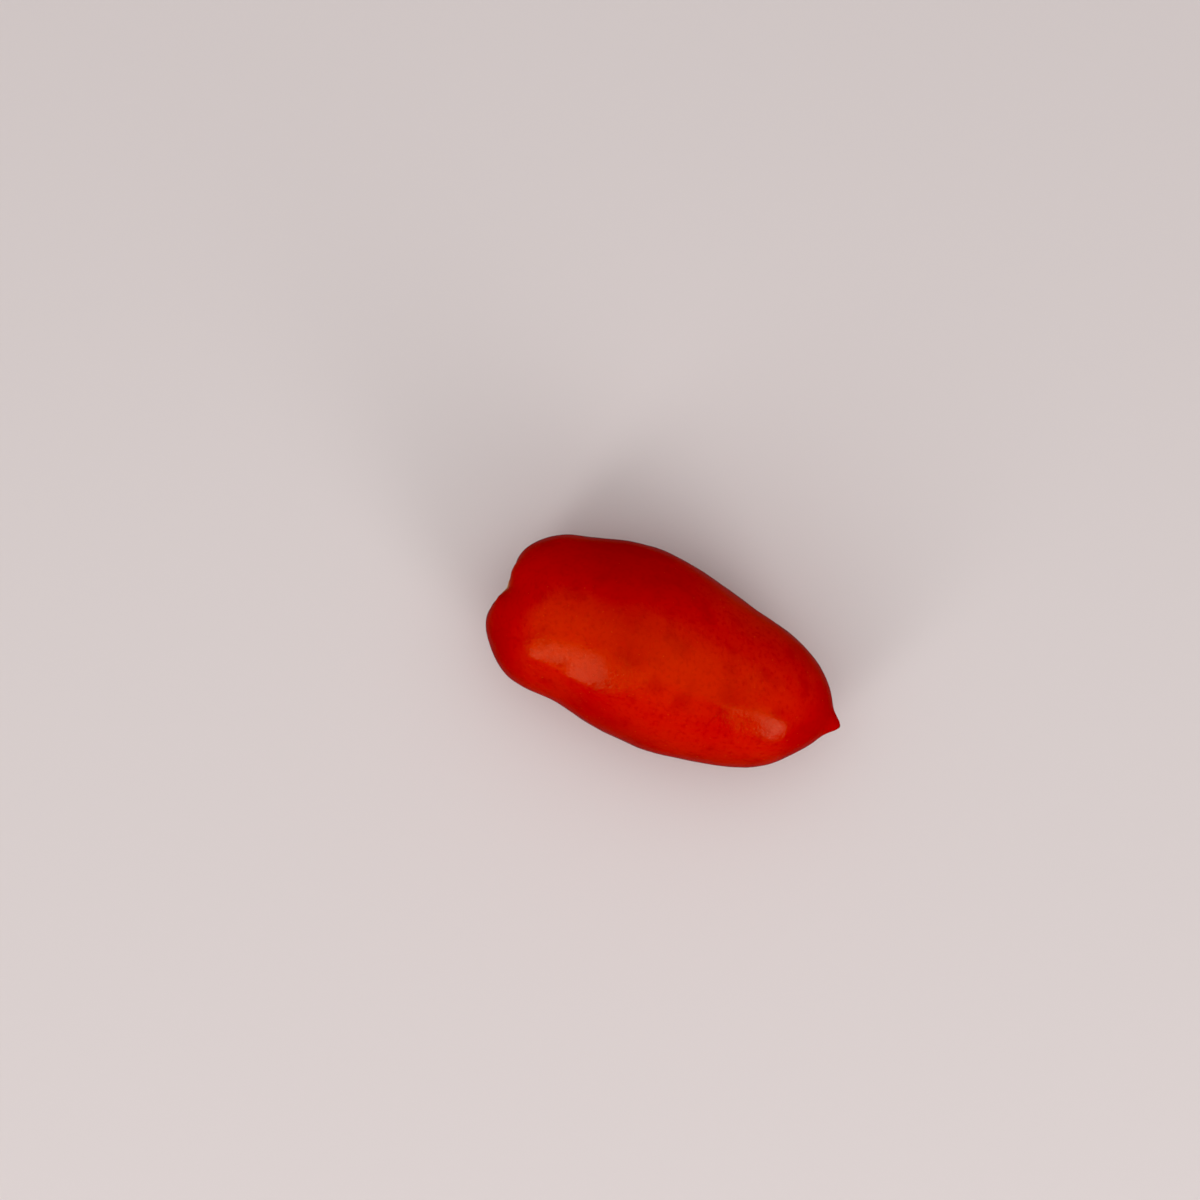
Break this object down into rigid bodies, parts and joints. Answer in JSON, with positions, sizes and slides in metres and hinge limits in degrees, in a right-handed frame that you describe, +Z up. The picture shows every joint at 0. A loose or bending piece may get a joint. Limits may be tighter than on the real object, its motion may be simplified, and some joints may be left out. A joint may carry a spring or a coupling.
{
  "type": "plum tomato",
  "caption": "Ripe plum tomato lying on its side: long oval fruit with a pointed blossom tip, a notched stem end and a small flat spot to rest on",
  "frame": {"origin": "centre of the bounding box's base, on the surface that the fruit lies on", "axes": "+X runs from the stem end to the blossom tip, +Y points across the fruit to its fuller side, +Z is up"},
  "size_m": [0.072, 0.0374, 0.0351],
  "materials": {
    "skin": "smooth waxy red skin with a soft shine, closer to satin than to a mirror",
    "dry_cork": "dry matt cork, for the thin stem scar and the dried blossom point that the dressed part adds to the skin"
  },
  "bodies": {
    "root": {"tomato": "skin"}
  },
  "joints": []
}
